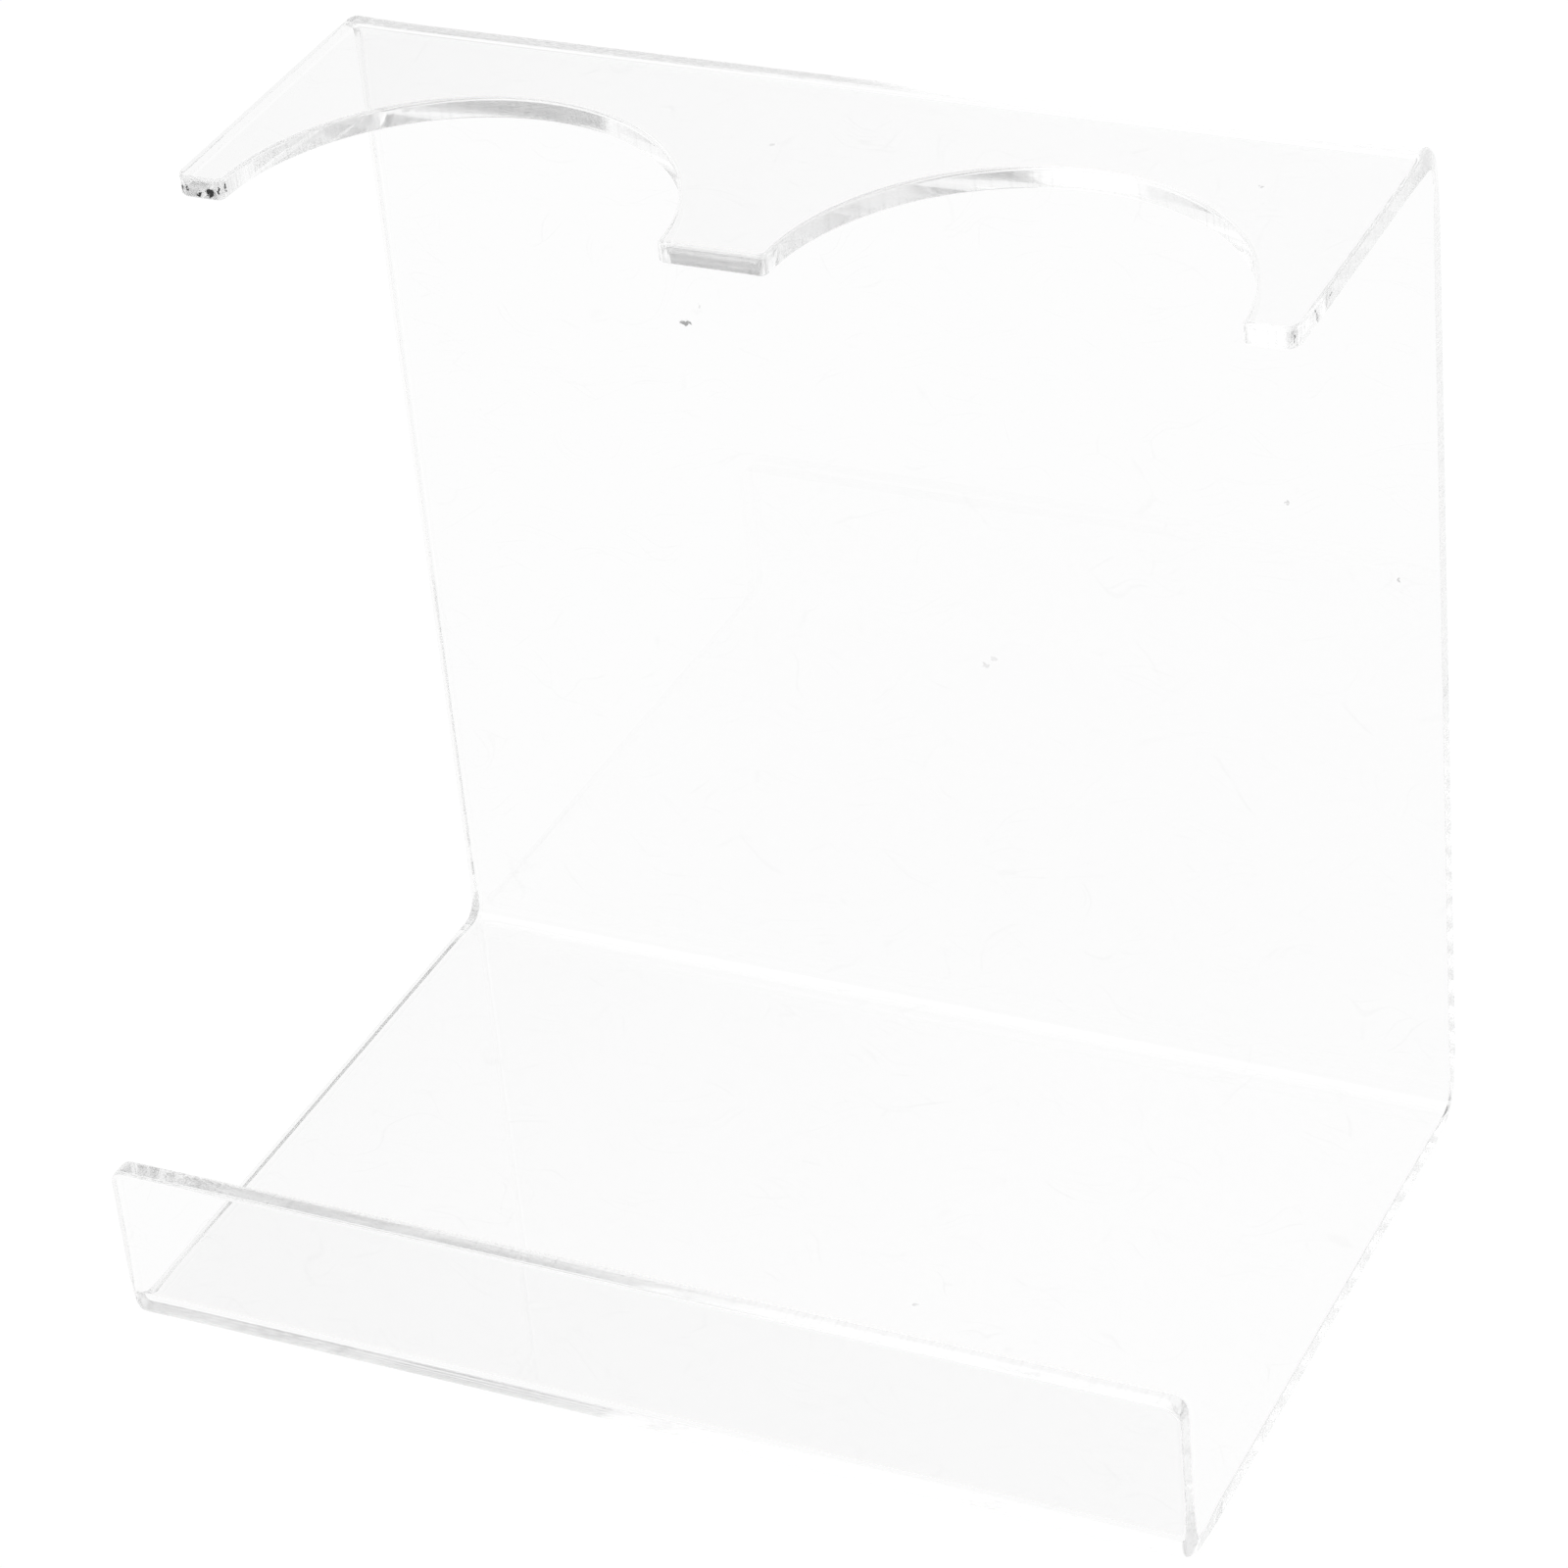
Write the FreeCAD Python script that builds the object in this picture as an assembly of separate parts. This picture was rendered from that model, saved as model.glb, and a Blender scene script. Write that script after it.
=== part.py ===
"""Clear acrylic headphone stand: one sheet, heat-bent along three parallel lines.

Seen from the side the sheet is a square "C" open to the front: a flat base, an upright back,
a top shelf that reaches forward over the base, and a low lip turned up at the base's front.
Two half-round scallops in the shelf's front edge leave a wide tongue between two narrow ones.

Millimetres. +X is the stand's width, from left to right seen from the front, -Y is its front
and +Z is up. The origin is the middle of the footprint, on the surface the stand rests on.
"""
import math
import os

import FreeCAD
import Part

# Sheet
WIDTH = 205.0
THICKNESS = 4.0
BEND_RADIUS = 4.0  # inside radius of the three heat bends

# Panels, measured on their inner faces, each bend counted to the corner it rounds off
BASE_DEPTH = 130.0
BACK_HEIGHT = 192.5
SHELF_LENGTH = 64.5
LIP_HEIGHT = 31.0
SHELF_DROOP = 1.4  # degrees that the shelf falls towards its front edge

# Scallops: half circles centred on the shelf's front edge
SCALLOP_RADIUS = 41.5
SCALLOP_OFFSET = 51.5  # from the middle of the shelf to each scallop's centre

# Rounded corners of the cut outline
PANEL_CORNER = 3.0  # outer corners of the shelf and of the lip
TONGUE_CORNER = 1.5  # where a scallop meets the shelf's front edge

NODE = "bent_sheet"

# Directions
SIDEWAYS = FreeCAD.Vector(1, 0, 0)
REARWARD = FreeCAD.Vector(0, 1, 0)
UPWARD = FreeCAD.Vector(0, 0, 1)
DROOP = FreeCAD.Rotation(SIDEWAYS, SHELF_DROOP)
SHELF_FORWARD = DROOP.multVec(-REARWARD)
SHELF_NORMAL = DROOP.multVec(UPWARD)

# Corners of the inner faces, in the middle of the width
FRONT_CORNER = -REARWARD * (BASE_DEPTH / 2) + UPWARD * THICKNESS
REAR_CORNER = REARWARD * (BASE_DEPTH / 2) + UPWARD * THICKNESS
TOP_CORNER = REAR_CORNER + UPWARD * BACK_HEIGHT
LIP_TIP = FRONT_CORNER + UPWARD * LIP_HEIGHT
SHELF_TIP = TOP_CORNER + SHELF_FORWARD * SHELF_LENGTH


def rounded_path(points, radius):
    """Open wire through the points, with each inner corner rounded by a tangent arc."""
    edges = []
    start = points[0]
    for before, corner, after in zip(points, points[1:], points[2:]):
        back = (before - corner).normalize()
        ahead = (after - corner).normalize()
        half_angle = back.getAngle(ahead) / 2
        leg = radius / math.tan(half_angle)
        sagitta_point = corner + (back + ahead).normalize() * (radius / math.sin(half_angle) - radius)
        arc_start = corner + back * leg
        arc_end = corner + ahead * leg
        edges.append(Part.LineSegment(start, arc_start).toShape())
        edges.append(Part.Arc(arc_start, sagitta_point, arc_end).toShape())
        start = arc_end
    edges.append(Part.LineSegment(start, points[-1]).toShape())
    return Part.Wire(edges)


def bent_blank():
    """The bent sheet with square ends: its inner line, thickened outwards and drawn out sideways."""
    inner_line = rounded_path([LIP_TIP, FRONT_CORNER, REAR_CORNER, TOP_CORNER, SHELF_TIP], BEND_RADIUS)
    inner_line.translate(-SIDEWAYS * (WIDTH / 2))
    arc_joins = 0
    filled = True
    open_ended = True
    section = inner_line.makeOffset2D(THICKNESS, arc_joins, filled, open_ended)
    return section.extrude(SIDEWAYS * WIDTH)


def cut_scallops(sheet):
    """Cut the two half-round scallops square through the shelf."""
    for side in (-1, 1):
        centre = SHELF_TIP + SIDEWAYS * (side * SCALLOP_OFFSET) - SHELF_NORMAL * THICKNESS
        cutter = Part.makeCylinder(SCALLOP_RADIUS, 3 * THICKNESS, centre, SHELF_NORMAL)
        sheet = sheet.cut(cutter)
    return sheet


def corner_edge(sheet, foot, normal):
    """The edge that crosses the sheet's thickness from a corner of its inner face."""
    middle = foot + normal * (THICKNESS / 2)
    return min(sheet.Edges, key=lambda edge: edge.CenterOfMass.distanceToPoint(middle))


def round_corners(sheet):
    """Round the corners of the cut outline: the tongues' inner corners, then the outer ones."""
    tongue_feet = [
        SHELF_TIP + SIDEWAYS * (side * SCALLOP_OFFSET + flank * SCALLOP_RADIUS)
        for side in (-1, 1)
        for flank in (-1, 1)
    ]
    sheet = sheet.makeFillet(
        TONGUE_CORNER, [corner_edge(sheet, foot, SHELF_NORMAL) for foot in tongue_feet]
    )
    panel_tips = ((SHELF_TIP, SHELF_NORMAL), (LIP_TIP, -REARWARD))
    return sheet.makeFillet(
        PANEL_CORNER,
        [
            corner_edge(sheet, tip + SIDEWAYS * (side * WIDTH / 2), normal)
            for tip, normal in panel_tips
            for side in (-1, 1)
        ],
    )


def main():
    sheet = round_corners(cut_scallops(bent_blank()))
    box = sheet.BoundBox
    print(NODE, "valid:", sheet.isValid(), "solids:", len(sheet.Solids))
    print(f"overall {box.XLength:.2f} x {box.YLength:.2f} x {box.ZLength:.2f} mm,", end=" ")
    print(f"volume {sheet.Volume / 1000:.2f} cm3")
    os.makedirs("parts", exist_ok=True)
    sheet.exportStep(f"parts/{NODE}.step")


main()
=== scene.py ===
"""Clear acrylic headphone stand on a white light table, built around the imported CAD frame.

The stand is made the way the real one is. A blank is cut from flat sheet, with rounded
corners, two scallops and laser-cut walls, and is then bent along three heated lines.
Flat coordinates are in millimetres: x across the width, run along the inner face from the
lip's tip to the shelf's front edge, and depth from the inner face outwards.
"""
import math

import bpy
import numpy as np
from mathutils import Matrix, Vector, geometry, noise


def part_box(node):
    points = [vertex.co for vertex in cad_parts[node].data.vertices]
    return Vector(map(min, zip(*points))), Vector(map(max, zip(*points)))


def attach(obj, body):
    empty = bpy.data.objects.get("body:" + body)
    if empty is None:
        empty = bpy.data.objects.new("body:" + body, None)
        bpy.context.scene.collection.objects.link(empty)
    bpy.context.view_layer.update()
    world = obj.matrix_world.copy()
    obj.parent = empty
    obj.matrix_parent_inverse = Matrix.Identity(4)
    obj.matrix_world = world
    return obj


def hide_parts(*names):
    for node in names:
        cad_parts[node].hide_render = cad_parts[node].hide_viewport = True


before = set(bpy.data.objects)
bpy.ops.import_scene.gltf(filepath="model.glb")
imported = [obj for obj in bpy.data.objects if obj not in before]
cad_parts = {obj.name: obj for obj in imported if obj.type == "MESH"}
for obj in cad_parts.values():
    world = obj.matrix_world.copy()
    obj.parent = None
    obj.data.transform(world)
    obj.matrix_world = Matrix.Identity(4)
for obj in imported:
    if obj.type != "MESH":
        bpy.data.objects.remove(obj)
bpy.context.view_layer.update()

NODE = "bent_sheet"
MM = 0.001

# Sheet and panels, as in the CAD model. Width, depth and height come from the frame.
THICKNESS = 4.0
BEND_RADIUS = 4.0  # the CAD model's plain arcs
LIP_HEIGHT = 31.0
SHELF_LENGTH = 64.5
SHELF_DROOP = math.radians(1.4)
LOW, HIGH = (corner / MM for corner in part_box(NODE))
WIDTH = HIGH.x - LOW.x
BASE_DEPTH = HIGH.y - LOW.y - 2 * THICKNESS
TOP_LEG = BEND_RADIUS / math.tan((math.pi / 2 - SHELF_DROOP) / 2)
BACK_HEIGHT = HIGH.z - 2 * THICKNESS - BEND_RADIUS + TOP_LEG

# Cut outline
SCALLOP_RADIUS = 41.5
SCALLOP_OFFSET = 51.5
TONGUE_CORNER = 1.5
PANEL_CORNER = 3.0
INNER_RIM = 0.3  # width of the cut's softened rim on the inner face
OUTER_RIM = 0.75  # and on the outer face
RIM_SHAPE = ((0.7, 0.07), (0.38, 0.38), (0.07, 0.7), (0.0, 1.0))  # inset and depth, over its width
WALL_STEPS = 6  # between the two rims
CUT_STRAY = 0.006  # how far the laser's path wanders in and out
BROAD_STRAY = (0.35, 0.2, 3.0)  # noise steps per mm of way and of depth, and the noise's layer
FINE_STRAY = (1.3, 0.5, 9.0)

# Heat bends: each turns most sharply in its middle and eases into the panels
TIGHTEST_RADIUS = 2.6  # on the inner face
BEND_EASE = 0.25  # 0 is a plain arc, 1 eases in from flat
BEND_REACH = 5.5  # the soft zone, each way from a bend's middle
SWELL = 0.45  # how far the squeezed inner face bulges sideways at a bend's ends
DRAW_IN = 0.6  # how far the stretched outer face shrinks there
SWELL_REACH = 3.2  # how far in from the sheet's side that is felt
THINNING = 0.12  # how much thinner the sheet is in the middle of a bend
# How far each bend's left and right end lift outwards, and how far in that is felt
END_LIFTS = (((0.1, 8.0), (0.25, 12.0)), ((0.1, 8.0), (0.15, 10.0)), ((0.3, 7.0), (0.3, 14.0)))

# Mesh spacing, and the fine steps that the bends are worked out in
FINE_ROW = 0.5
PANEL_ROW = 6.0
SIDE_COLUMN = 1.3
COLUMN = 6.0
ROW_GROWTH = 1.35
CUT_STEP = 1.0
CORNER_STEPS = 6  # for a corner's own radius along its arc
CROWDING = 1.0  # inner points keep this far from the inner face's rim
BEND_SHARES = 400
SECTION_POINTS = 12001
NUDGE = 0.01  # each way, to find which way a bent normal faces

# Materials
SHEET_MAP = "flat_sheet"  # UV map: x and run, in millimetres
CUT_MAP = "cut_wall"  # UV map: way along the cut and depth, in millimetres
OUTER_FACE_SHIFT = 1000.0  # set on the outer face's run, so the two faces are marked differently
ACRYLIC_IOR = 1.49
ACRYLIC_TINT = (0.965, 0.965, 0.965, 1)

# Hairline scratches: the edges of long narrow cells, swayed into curves, in worn patches
SCRATCH_TINT = (0.94, 0.94, 0.94, 1)
SCRATCH_ROUGHNESS = 0.15
SCRATCH_CELLS = (0.02, 0.13, 1)
SCRATCH_EDGES = (0.003, 0.012)
SWAY = 30.0
SWAY_SCALE = 0.035
WORN_SCALE = 0.09
WORN_LEVELS = (0.5, 0.62)

# Cut walls: a little dull from the laser, duller along its striations, and mottled in patches
CUT_TINT = (0.93, 0.93, 0.93, 1)
STREAK_TINT = (0.78, 0.78, 0.78, 1)
STREAK_LEVELS = (0.5, 0.7)
CUT_RELIEF = 0.008 * MM
STRIATIONS = (1.45, 0.05, 1)
MOTTLE_SCALE = 1.5
PATCH_SCALE = 0.12
PATCH_LEVELS = (0.45, 0.6)

# Small dark spots, which fade from a core to a ragged edge
SPECK_TINT = (0.05, 0.05, 0.05, 1)
CUT_SPOT_TINT = (0.0, 0.0, 0.0, 1)
SPOT_CORE = 0.6
RAG = 1.6
RAG_SCALE = 1.3

# Dust and dirt on the faces: x, run, half the width, half the height and how dark
SPECKS = (
    (-40.7, 300.7, 1.3, 0.6, 0.9),
    (-37.4, 304.5, 0.4, 0.4, 0.3),
    (16.0, 239.4, 0.7, 0.7, 0.25),
    (14.3, 237.8, 0.8, 0.8, 0.3),
    (94.9, 269.9, 0.4, 0.5, 0.6),
    (74.6, 282.0, 0.35, 0.3, 0.5),
    (80.4, 1370.7, 0.45, 0.45, 0.5),
    (-5.6, 1377.6, 0.4, 0.4, 0.35),
    (31.0, 1075.0, 0.5, 0.5, 0.4),
)

# Dark spots on the narrow tongues' cut ends: way, depth, half the width and height, how dark
CUT_END_SPOTS = (
    (914.0, 1.6, 0.4, 1.1, 1.0),
    (912.9, 1.7, 0.35, 0.8, 1.0),
    (910.6, 0.9, 0.7, 0.5, 1.0),
    (908.3, 1.5, 1.2, 1.1, 1.0),
    (906.5, 1.9, 0.35, 1.3, 1.0),
    (905.2, 2.0, 0.3, 1.4, 1.0),
    (618.8, 2.0, 0.22, 1.2, 0.9),
    (611.2, 2.8, 0.3, 0.5, 0.95),
    (610.5, 1.5, 0.35, 0.9, 0.95),
    (604.0, 2.2, 0.9, 0.35, 0.9),
)

# View: degrees, millimetres and a lens for a 36 mm sensor
VIEW_AZIMUTH = 27.845
VIEW_ELEVATION = 32.453
VIEW_ROLL = -5.577
VIEW_LENS = 122.93
VIEW_SENSOR = 36
VIEW_DISTANCE = 932.25
VIEW_AIM = Vector((4.524, 0.0, 95.466))

# Light table, in metres
TABLE_SIZE = 24
TABLE_GAP = 0.0003
TABLE_GREY = 0.04
TABLE_ROUGHNESS = 0.9
TABLE_GLOW = 0.985

# Studio: the room's light at each height of a direction, from level to straight up
ROOM_LIGHT = ((0.0, 1.17), (0.3, 0.95), (0.5, 0.95), (0.7, 1.09), (1.0, 1.42))
# Soft patches: azimuth and elevation of the middle, radius of the core and of the edge, change
STUDIO_PATCHES = (
    (99.0, 71.0, 29.0, 35.0, -0.97),  # dark ceiling beyond the right side
    (315.0, 53.0, 9.0, 15.0, 0.82),  # softbox high on the front left
    (281.0, 43.0, 17.0, 23.0, -0.66),  # dim left side
    (273.0, 23.0, 13.0, 19.0, -0.58),  # dim left side, lower down
    (25.0, 12.0, 21.0, 27.0, -2.4),  # the camera and its stand
    (226.0, 30.0, 4.0, 20.0, -0.2),  # dim far left, mirrored in the left of the shelf
    (196.0, 32.0, 4.0, 20.0, 0.12),  # lighter far side, mirrored in the right of the shelf
)
LIGHT_BOUNCES = 200  # light runs a long way inside the sheet


class HeatBend:
    """One bend: how far it turns, and where it starts and ends along the run."""

    def __init__(self, turn, panel_before):
        self.turn = turn
        self.panel_before = panel_before
        self.length = (1 + BEND_EASE) * turn * TIGHTEST_RADIUS
        shares = (np.arange(BEND_SHARES) + 0.5) / BEND_SHARES
        along = np.mean(np.cos(self.turned(shares))) * self.length
        across = np.mean(np.sin(self.turned(shares))) * self.length
        self.leg = along - across / math.tan(turn)
        self.start = 0.0

    def turned(self, share):
        """The angle turned after this share of the bend's length."""
        share = np.clip(share, 0, 1)
        return self.turn * (share - BEND_EASE * np.sin(2 * math.pi * share) / (2 * math.pi))

    @property
    def middle(self):
        return self.start + self.length / 2


def lay_out_bends():
    """The front, rear and top bend, set along the run, and the run's whole length."""
    bends = [
        HeatBend(math.pi / 2, LIP_HEIGHT),
        HeatBend(math.pi / 2, BASE_DEPTH),
        HeatBend(math.pi / 2 + SHELF_DROOP, BACK_HEIGHT),
    ]
    run = 0.0
    leg_before = 0.0
    for bend in bends:
        bend.start = run + bend.panel_before - leg_before - bend.leg
        run = bend.start + bend.length
        leg_before = bend.leg
    return bends, run + SHELF_LENGTH - leg_before


def trace_section(bends, run_length):
    """The inner face's section: run, y, z and heading at close steps, from the lip's tip."""
    run = np.linspace(0, run_length, SECTION_POINTS)
    heading = -math.pi / 2 + sum(b.turned((run - b.start) / b.length) for b in bends)
    step = run[1] - run[0]
    between = (heading[1:] + heading[:-1]) / 2
    y = -BASE_DEPTH / 2 + np.concatenate([[0], np.cumsum(np.cos(between) * step)])
    z = THICKNESS + LIP_HEIGHT + np.concatenate([[0], np.cumsum(np.sin(between) * step)])
    return run, y, z, heading


BENDS, RUN_LENGTH = lay_out_bends()
SECTION = trace_section(BENDS, RUN_LENGTH)


def arc(centre, radius, start, end, step):
    """Points of an arc in flat coordinates, from the start angle to the end angle in degrees."""
    count = max(2, math.ceil(abs(math.radians(end - start)) * radius / step))
    angles = np.radians(np.linspace(start, end, count + 1))
    return [(centre[0] + radius * math.cos(a), centre[1] + radius * math.sin(a)) for a in angles]


def graded(start, end, fine, coarse):
    """Values from start to end, closest together at both ends."""
    half = (end - start) / 2
    steps = []
    step = fine
    while sum(steps) + step < half - coarse / 2:
        steps.append(step)
        step = min(coarse, step * ROW_GROWTH)
    left = half - sum(steps)
    count = max(1, round(left / step))
    steps += [left / count] * count
    return start + np.concatenate([[0], np.cumsum(steps + steps[::-1])])


def run_rows():
    """Rows along the run: close together through the bends, wide apart on the panels."""
    rows = []
    panel_start = PANEL_CORNER
    for bend in BENDS:
        bend_start = bend.start - BEND_REACH / 2
        bend_end = bend.start + bend.length + BEND_REACH / 2
        rows += list(graded(panel_start, bend_start, FINE_ROW, PANEL_ROW))[:-1]
        rows += list(np.arange(bend_start, bend_end - FINE_ROW / 2, FINE_ROW))
        panel_start = bend_end
    rows += list(graded(panel_start, RUN_LENGTH - PANEL_CORNER, FINE_ROW, PANEL_ROW))
    return rows


def straight_cut(start, end, run):
    """Points across the width between two corners, without the corners themselves."""
    count = max(2, round(abs(end - start) / CUT_STEP))
    return [(x, run) for x in np.linspace(start, end, count + 1)[1:-1]]


def cut_outline(rows):
    """The blank's outline, anticlockwise in (x, run), starting at the lip's left corner."""
    side = WIDTH / 2 - PANEL_CORNER
    tip = RUN_LENGTH - PANEL_CORNER
    foot = RUN_LENGTH - TONGUE_CORNER
    to_foot = SCALLOP_RADIUS + TONGUE_CORNER
    reach = math.sqrt(to_foot ** 2 - TONGUE_CORNER ** 2)
    lean = math.degrees(math.asin(TONGUE_CORNER / to_foot))
    corner_step = PANEL_CORNER / CORNER_STEPS
    tongue_step = TONGUE_CORNER / CORNER_STEPS
    points = arc((-side, PANEL_CORNER), PANEL_CORNER, 180, 270, corner_step)
    points += straight_cut(-side, side, 0.0)
    points += arc((side, PANEL_CORNER), PANEL_CORNER, 270, 360, corner_step)
    points += [(WIDTH / 2, run) for run in rows[1:-1]]
    points += arc((side, tip), PANEL_CORNER, 0, 90, corner_step)
    edge_start = side
    for middle in (SCALLOP_OFFSET, -SCALLOP_OFFSET):
        points += straight_cut(edge_start, middle + reach, RUN_LENGTH)
        points += arc((middle + reach, foot), TONGUE_CORNER, 90, 180 - lean, tongue_step)
        points += arc((middle, RUN_LENGTH), SCALLOP_RADIUS, -lean, lean - 180, CUT_STEP)[1:-1]
        points += arc((middle - reach, foot), TONGUE_CORNER, lean, 90, tongue_step)
        edge_start = middle - reach
    points += straight_cut(edge_start, -side, RUN_LENGTH)
    points += arc((-side, tip), PANEL_CORNER, 90, 180, corner_step)
    points += [(-WIDTH / 2, run) for run in rows[-2:0:-1]]
    return np.array(points)


def loop_normals(loop):
    """Outward unit normals of an anticlockwise closed loop."""
    along = np.roll(loop, -1, axis=0) - np.roll(loop, 1, axis=0)
    normals = np.stack([along[:, 1], -along[:, 0]], axis=1)
    return normals / np.linalg.norm(normals, axis=1, keepdims=True)


def points_inside(points, rim):
    """The points that lie inside the rim and aren't crowded against it."""
    after = np.roll(rim, -1, axis=0)
    kept = []
    for point in points:
        crossing = (rim[:, 1] > point[1]) != (after[:, 1] > point[1])
        rise = np.where(crossing, after[:, 1] - rim[:, 1], 1)
        cut_x = rim[:, 0] + (point[1] - rim[:, 1]) * (after[:, 0] - rim[:, 0]) / rise
        inside = np.count_nonzero(crossing & (point[0] < cut_x)) % 2 == 1
        if inside and np.min(np.hypot(*(rim - point).T)) > CROWDING:
            kept.append(point)
    return kept


def triangulate_panel(rim, rows):
    """Points and triangles that fill the rim, with the inner points on the run's rows."""
    edge = WIDTH / 2 - INNER_RIM
    columns = graded(-edge, edge, SIDE_COLUMN, COLUMN)
    grid = np.array([(x, run) for run in rows for x in columns[1:-1]])
    points = [*rim, *points_inside(grid, rim)]
    edges = [(i, (i + 1) % len(rim)) for i in range(len(rim))]
    only_inside = 1
    merging = 1e-5
    vertices, _, faces, *_ = geometry.delaunay_2d_cdt(
        [Vector(p) for p in points], edges, [], only_inside, merging
    )
    if len(vertices) != len(points):
        raise ValueError("the cut outline crosses itself")
    return np.array(points), [tuple(face) for face in faces]


def wall_profile():
    """Steps across the cut wall from the inner face: inset, depth and the normal's two parts."""
    near = [(INNER_RIM * inset, INNER_RIM * d, 1 - inset, d - 1) for inset, d in RIM_SHAPE]
    far = [(OUTER_RIM * inset, THICKNESS - OUTER_RIM * d, 1 - inset, 1 - d) for inset, d in RIM_SHAPE]
    depths = np.linspace(INNER_RIM, THICKNESS - OUTER_RIM, WALL_STEPS + 1)[1:-1]
    return near + [(0.0, depth, 1.0, 0.0) for depth in depths] + far[::-1]


def stray(way, depth):
    """How far the cut wall lies off its line, at this way along it and this depth."""
    broad, fine = (
        noise.noise(Vector((way * by_way, depth * by_depth, layer)))
        for by_way, by_depth, layer in (BROAD_STRAY, FINE_STRAY)
    )
    return CUT_STRAY * (broad + fine / 2)


def wall_ring(outline, outward, lengths, way, step):
    """The points and normals of one ring round the blank, at one step across the cut wall."""
    inset, depth, sideways, upwards = step
    count = len(outline)
    off = np.array([stray(w, depth) for w in way[:-1]])
    slope = (np.roll(off, -1) - np.roll(off, 1)) / (lengths + np.roll(lengths, 1))
    along = np.column_stack([-outward[:, 1], outward[:, 0]])
    places = outline + outward * (off - inset)[:, None]
    facing = sideways * (outward - along * slope[:, None])
    points = np.column_stack([places, np.full(count, depth)])
    return points, np.column_stack([facing, np.full(count, upwards)])


def cut_blank():
    """The flat blank: points, their normals, faces, how many are polished, and the cut's way."""
    rows = run_rows()
    outline = cut_outline(rows)
    outward = loop_normals(outline)
    lengths = np.linalg.norm(np.roll(outline, -1, axis=0) - outline, axis=1)
    way = np.concatenate([[0], np.cumsum(lengths)])
    count = len(outline)
    inner, triangles = triangulate_panel(outline - outward * INNER_RIM, rows)
    size = len(inner)
    outer = np.concatenate([outline - outward * OUTER_RIM, inner[count:]])

    points = [np.column_stack([inner, np.zeros(size)])]
    points.append(np.column_stack([outer, np.full(size, THICKNESS)]))
    normals = [np.tile([0.0, 0.0, -1.0], (size, 1)), np.tile([0.0, 0.0, 1.0], (size, 1))]
    faces = list(triangles) + [tuple(i + size for i in face[::-1]) for face in triangles]
    polished_count = len(faces)
    rings = [np.arange(count)]
    for step in wall_profile():
        rings.append(np.arange(count) + sum(len(part) for part in points))
        ring_points, ring_normals = wall_ring(outline, outward, lengths, way, step)
        points.append(ring_points)
        normals.append(ring_normals)
    rings.append(np.arange(count) + size)
    for near, far in zip(rings, rings[1:]):
        for i in range(count):
            j = (i + 1) % count
            faces.append((near[i], far[i], far[j], near[j]))
    return np.concatenate(points), np.concatenate(normals), faces, polished_count, way


def bend_points(flat):
    """Where the flat points (x, run, depth) lie once the sheet is bent, in millimetres."""
    x, run, depth = flat.T
    from_side = WIDTH / 2 - np.abs(x)
    outward = depth / THICKNESS
    sideways = np.zeros_like(x)
    lift = depth.copy()
    for bend, (left, right) in zip(BENDS, END_LIFTS):
        softness = np.exp(-(((run - bend.middle) / BEND_REACH) ** 2))
        swell = SWELL * (1 - outward) - DRAW_IN * outward
        sideways += np.sign(x) * swell * softness * np.exp(-((from_side / SWELL_REACH) ** 2))
        height = np.where(x < 0, left[0], right[0])
        reach = np.where(x < 0, left[1], right[1])
        lift += height * softness * np.exp(-((from_side / reach) ** 2))
        lift -= THINNING * softness * (outward - 0.5)
    heading = np.interp(run, SECTION[0], SECTION[3])
    y = np.interp(run, SECTION[0], SECTION[1]) + np.sin(heading) * lift
    z = np.interp(run, SECTION[0], SECTION[2]) - np.cos(heading) * lift
    return np.stack([x + sideways, y, z], axis=1)


def bend_normals(flat, normals):
    """Which way the flat normals face once the sheet is bent."""
    nudges = NUDGE * np.eye(3)
    moves = [bend_points(flat + nudge) - bend_points(flat - nudge) for nudge in nudges]
    back_to_flat = np.linalg.inv(np.stack(moves, axis=2))
    bent = np.einsum("nki,nk->ni", back_to_flat, normals)
    return bent / np.linalg.norm(bent, axis=1, keepdims=True)


def map_sheet(mesh, flat):
    """Stores x and run for each face corner, with the outer face set further along."""
    vertices = np.empty(len(mesh.loops), np.int32)
    mesh.loops.foreach_get("vertex_index", vertices)
    places = flat[vertices][:, :2]
    places[:, 1] += OUTER_FACE_SHIFT * (flat[vertices][:, 2] > THICKNESS / 2)
    mesh.uv_layers.new(name=SHEET_MAP).data.foreach_set("uv", places.ravel())


def map_cut_walls(mesh, flat, first, way):
    """Stores way and depth for each corner of the wall faces, which start at index first."""
    count = len(way) - 1
    places = np.zeros((len(mesh.loops), 2))
    for index in range(first, len(mesh.polygons)):
        place = (index - first) % count
        face = mesh.polygons[index]
        for corner, vertex, ahead in zip(face.loop_indices, face.vertices, (0, 0, 1, 1)):
            places[corner] = way[place + ahead], flat[vertex, 2]
    mesh.uv_layers.new(name=CUT_MAP).data.foreach_set("uv", places.ravel())


def set_materials(mesh, first, count):
    """Polished faces and rims, and laser-cut walls between them. Each ring has count faces."""
    mesh.materials.append(polished_acrylic())
    mesh.materials.append(laser_cut_acrylic())
    ring = (np.arange(len(mesh.polygons)) - first) // count
    rim_rings = len(RIM_SHAPE)
    is_wall = (ring >= rim_rings) & (ring < rim_rings + WALL_STEPS)
    mesh.polygons.foreach_set("material_index", is_wall.astype(np.int32))


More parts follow.
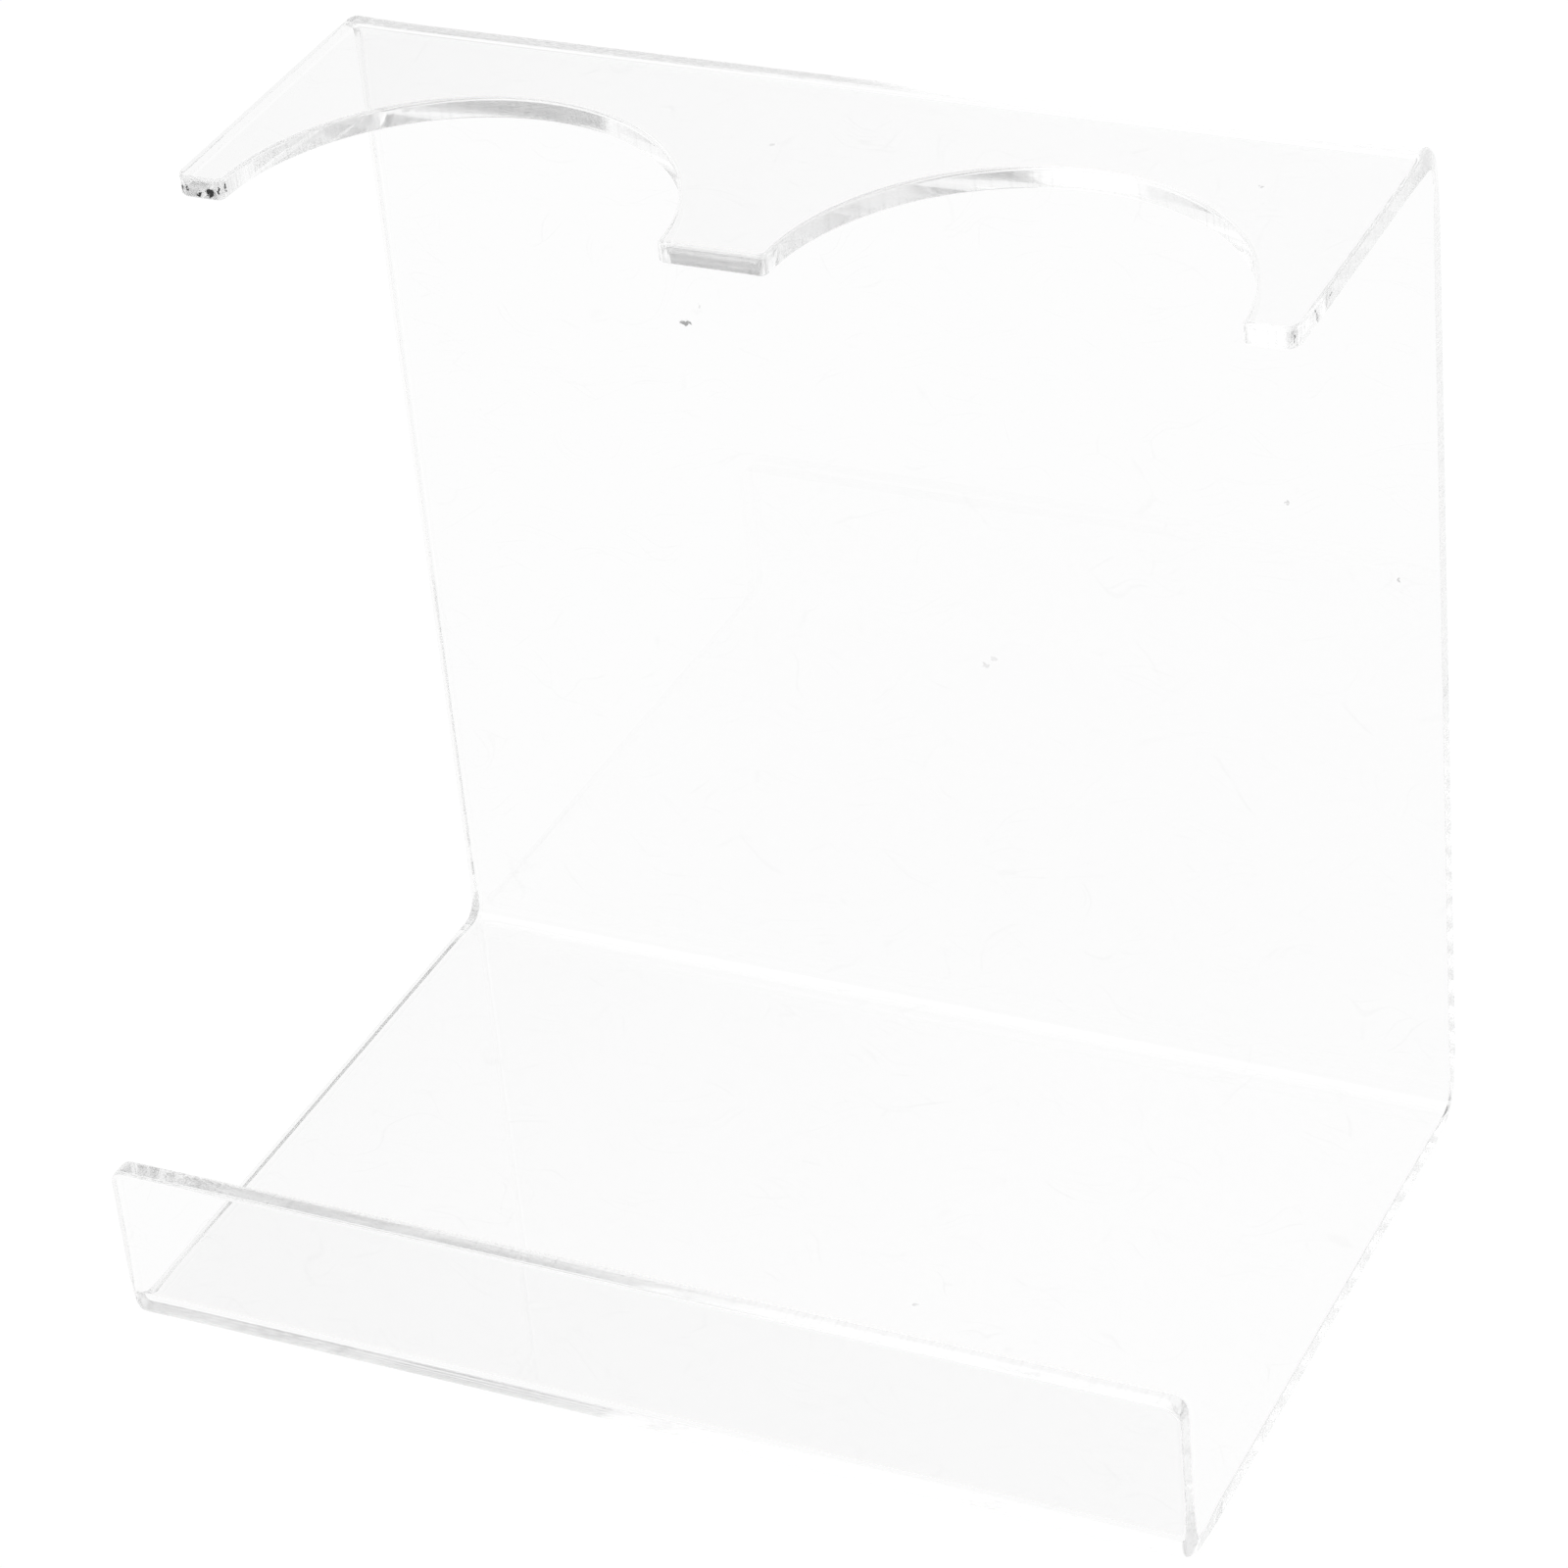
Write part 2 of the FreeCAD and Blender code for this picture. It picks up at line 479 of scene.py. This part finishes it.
def add_sheet():
    """The bent sheet as a Blender object that stands for the CAD node."""
    flat, normals, faces, polished_count, way = cut_blank()
    mesh = bpy.data.meshes.new("acrylic_sheet")
    mesh.from_pydata([Vector(p) for p in bend_points(flat) * MM], [], faces)
    set_materials(mesh, polished_count, len(way) - 1)
    map_sheet(mesh, flat)
    map_cut_walls(mesh, flat, polished_count, way)
    mesh.polygons.foreach_set("use_smooth", np.ones(len(faces), bool))
    mesh.normals_split_custom_set_from_vertices([Vector(n) for n in bend_normals(flat, normals)])
    sheet = bpy.data.objects.new("acrylic_sheet", mesh)
    bpy.context.scene.collection.objects.link(sheet)
    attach(sheet, "root")
    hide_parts(NODE)


def add_node(tree, kind, inputs=None, **settings):
    """A shader node with these settings. An input is a value or another node's output."""
    node = tree.nodes.new("ShaderNode" + kind)
    for name, value in settings.items():
        setattr(node, name, value)
    for name, value in (inputs or {}).items():
        if isinstance(value, bpy.types.NodeSocket):
            tree.links.new(value, node.inputs[name])
        else:
            node.inputs[name].default_value = value
    return node


def maths(tree, operation, first, second):
    return add_node(tree, "Math", {0: first, 1: second}, operation=operation).outputs[0]


def vector_maths(tree, operation, first, second):
    return add_node(tree, "VectorMath", {0: first, 1: second}, operation=operation).outputs[0]


def scaled(tree, vector, factor):
    return add_node(tree, "VectorMath", {0: vector, "Scale": factor}, operation="SCALE").outputs[0]


def remap(tree, value, low, high, new_low=0.0, new_high=1.0, easing="LINEAR"):
    limits = {"From Min": low, "From Max": high, "To Min": new_low, "To Max": new_high}
    node = add_node(tree, "MapRange", {"Value": value, **limits}, interpolation_type=easing)
    return node.outputs[0]


def mix_tints(tree, factor, first, second):
    inputs = {"Factor": factor, "A": first, "B": second}
    return add_node(tree, "Mix", inputs, data_type="RGBA").outputs["Result"]


def flat_noise(tree, place, scale, detail):
    inputs = {"Vector": place, "Scale": scale, "Detail": detail}
    return add_node(tree, "TexNoise", inputs, noise_dimensions="2D")


def clear_material(name, tint):
    """A see-through acrylic material, its node tree and its shader."""
    material = bpy.data.materials.new(name)
    material.use_nodes = True
    shader = material.node_tree.nodes["Principled BSDF"]
    shader.inputs["Base Color"].default_value = tint
    shader.inputs["IOR"].default_value = ACRYLIC_IOR
    shader.inputs["Transmission Weight"].default_value = 1.0
    return material, material.node_tree, shader


def hairlines(tree, place, angle, offset):
    """Thin scratches that run mostly one way: 1 on a scratch and 0 off it."""
    layout = {"Location": (offset, offset, 0), "Rotation": (0, 0, angle), "Scale": SCRATCH_CELLS}
    turned = add_node(tree, "Mapping", {"Vector": place, **layout}).outputs[0]
    kind = {"feature": "DISTANCE_TO_EDGE", "voronoi_dimensions": "2D"}
    cells = add_node(tree, "TexVoronoi", {"Vector": turned, "Scale": 1.0}, **kind)
    return remap(tree, cells.outputs["Distance"], *SCRATCH_EDGES, 1.0, 0.0)


def dark_spots(tree, place, spots):
    """Small ragged dark spots: how dark it is at this place."""
    rag = flat_noise(tree, place, RAG_SCALE, 2.0).outputs["Color"]
    rag = scaled(tree, vector_maths(tree, "SUBTRACT", rag, (0.5, 0.5, 0.5)), RAG)
    ragged = vector_maths(tree, "ADD", place, rag)
    boundless = 1000.0
    darkest = 0.0
    for along, across, half_width, half_height, darkness in spots:
        offset = vector_maths(tree, "SUBTRACT", ragged, (along, across, 0.0))
        share = vector_maths(tree, "DIVIDE", offset, (half_width, half_height, boundless))
        distance = add_node(tree, "VectorMath", {0: share}, operation="LENGTH").outputs["Value"]
        spot = remap(tree, distance, SPOT_CORE, 1.0, darkness, 0.0)
        darkest = maths(tree, "MAXIMUM", darkest, spot)
    return darkest


def polished_acrylic():
    """The sheet's two faces: clear and glossy, with patches of fine scratches and some dust."""
    material, tree, shader = clear_material("clear_acrylic", ACRYLIC_TINT)
    place = add_node(tree, "UVMap", uv_map=SHEET_MAP).outputs[0]
    sway = scaled(tree, flat_noise(tree, place, SWAY_SCALE, 1.0).outputs["Color"], SWAY)
    curved = vector_maths(tree, "ADD", place, sway)
    lines = maths(tree, "MAXIMUM", hairlines(tree, curved, 0.5, 5.0), hairlines(tree, curved, 2.0, 11.0))
    worn = remap(tree, flat_noise(tree, place, WORN_SCALE, 1.0).outputs[0], *WORN_LEVELS)
    marks = maths(tree, "MULTIPLY", lines, worn)
    tree.links.new(remap(tree, marks, 0, 1, 0, SCRATCH_ROUGHNESS), shader.inputs["Roughness"])
    scratched = mix_tints(tree, marks, ACRYLIC_TINT, SCRATCH_TINT)
    dusty = mix_tints(tree, dark_spots(tree, place, SPECKS), scratched, SPECK_TINT)
    tree.links.new(dusty, shader.inputs["Base Color"])
    return material


def laser_cut_acrylic():
    """The cut walls: glossy, with striations across the thickness, mottling and dark spots."""
    material, tree, shader = clear_material("laser_cut_acrylic", CUT_TINT)
    shader.inputs["Roughness"].default_value = 0.0
    place = add_node(tree, "UVMap", uv_map=CUT_MAP).outputs[0]
    upright = add_node(tree, "Mapping", {"Vector": place, "Scale": STRIATIONS}).outputs[0]
    stripes = flat_noise(tree, upright, 1.0, 2.0).outputs[0]
    patches = remap(tree, flat_noise(tree, place, PATCH_SCALE, 1.0).outputs[0], *PATCH_LEVELS)
    mottle = maths(tree, "MULTIPLY", flat_noise(tree, place, MOTTLE_SCALE, 2.0).outputs[0], patches)
    relief = {"Height": maths(tree, "ADD", stripes, mottle), "Distance": CUT_RELIEF}
    tree.links.new(add_node(tree, "Bump", relief).outputs[0], shader.inputs["Normal"])
    streaked = mix_tints(tree, remap(tree, stripes, *STREAK_LEVELS), CUT_TINT, STREAK_TINT)
    # darkened at the listed dark spots on the tongues' cut ends
    spotted = mix_tints(tree, dark_spots(tree, place, CUT_END_SPOTS), streaked, CUT_SPOT_TINT)
    tree.links.new(spotted, shader.inputs["Base Color"])
    return material


def add_camera():
    """The camera, above and to the right of the open front, turned a little about its axis."""
    azimuth, elevation, roll = (math.radians(a) for a in (VIEW_AZIMUTH, VIEW_ELEVATION, VIEW_ROLL))
    level = math.cos(elevation)
    forward = Vector((-math.sin(azimuth) * level, math.cos(azimuth) * level, -math.sin(elevation)))
    right = Vector((math.cos(azimuth), math.sin(azimuth), 0))
    up = right.cross(forward)
    turned_right = math.cos(roll) * right + math.sin(roll) * up
    turned_up = math.cos(roll) * up - math.sin(roll) * right
    turn = Matrix((turned_right, turned_up, -forward)).transposed().to_4x4()
    data = bpy.data.cameras.new("camera")
    data.sensor_width = VIEW_SENSOR
    data.lens = VIEW_LENS
    camera = bpy.data.objects.new("camera", data)
    camera.matrix_world = Matrix.Translation((VIEW_AIM - forward * VIEW_DISTANCE) * MM) @ turn
    bpy.context.scene.collection.objects.link(camera)
    bpy.context.scene.camera = camera


def add_light_table():
    """A wide white table that glows evenly, as is used under clear objects."""
    half = TABLE_SIZE / 2
    corners = [(-half, -half, 0), (half, -half, 0), (half, half, 0), (-half, half, 0)]
    mesh = bpy.data.meshes.new("light_table")
    mesh.from_pydata(corners, [], [(0, 1, 2, 3)])
    material = bpy.data.materials.new("white_table")
    material.use_nodes = True
    shader = material.node_tree.nodes["Principled BSDF"]
    shader.inputs["Base Color"].default_value = (TABLE_GREY, TABLE_GREY, TABLE_GREY, 1)
    shader.inputs["Roughness"].default_value = TABLE_ROUGHNESS
    shader.inputs["Specular IOR Level"].default_value = 0.0
    shader.inputs["Emission Color"].default_value = (1, 1, 1, 1)
    shader.inputs["Emission Strength"].default_value = TABLE_GLOW
    mesh.materials.append(material)
    table = bpy.data.objects.new("light_table", mesh)
    table.location.z = -TABLE_GAP
    bpy.context.scene.collection.objects.link(table)


def direction_to(azimuth, elevation):
    """Unit vector towards this azimuth, from the front round to the right, and elevation."""
    level = math.cos(math.radians(elevation))
    turn = math.radians(azimuth)
    return Vector((math.sin(turn) * level, -math.cos(turn) * level, math.sin(math.radians(elevation))))


def light_by_height(tree, height):
    """The room's light at this height, in straight steps between the listed ones."""
    light = ROOM_LIGHT[0][1]
    for (low, before), (high, after) in zip(ROOM_LIGHT, ROOM_LIGHT[1:]):
        light = maths(tree, "ADD", light, remap(tree, height, low, high, 0, after - before))
    return light


def add_studio():
    """A pale room all round with a few soft patches, as seen through and in the clear sheet."""
    world = bpy.data.worlds.new("studio")
    bpy.context.scene.world = world
    world.use_nodes = True
    tree = world.node_tree
    direction = add_node(tree, "TexCoord").outputs["Generated"]
    height = add_node(tree, "SeparateXYZ", {0: direction}).outputs["Z"]
    light = light_by_height(tree, height)
    for azimuth, elevation, core, edge, change in STUDIO_PATCHES:
        axis = direction_to(azimuth, elevation)
        closeness = add_node(tree, "VectorMath", {0: direction, 1: axis}, operation="DOT_PRODUCT")
        limits = math.cos(math.radians(edge)), math.cos(math.radians(core))
        amount = remap(tree, closeness.outputs["Value"], *limits, 0, change, "SMOOTHSTEP")
        light = maths(tree, "ADD", light, amount)
    light = maths(tree, "MAXIMUM", light, 0.0)
    background = tree.nodes["Background"]
    tree.links.new(light, background.inputs["Strength"])
    background.inputs["Color"].default_value = (1, 1, 1, 1)


def set_light_paths():
    """Enough bounces for light to run the length of the sheet, and plain colours."""
    scene = bpy.context.scene
    scene.view_settings.view_transform = "Standard"
    scene.cycles.max_bounces = LIGHT_BOUNCES
    scene.cycles.transmission_bounces = LIGHT_BOUNCES
    scene.cycles.glossy_bounces = LIGHT_BOUNCES


add_camera()
add_studio()
add_light_table()
add_sheet()
set_light_paths()
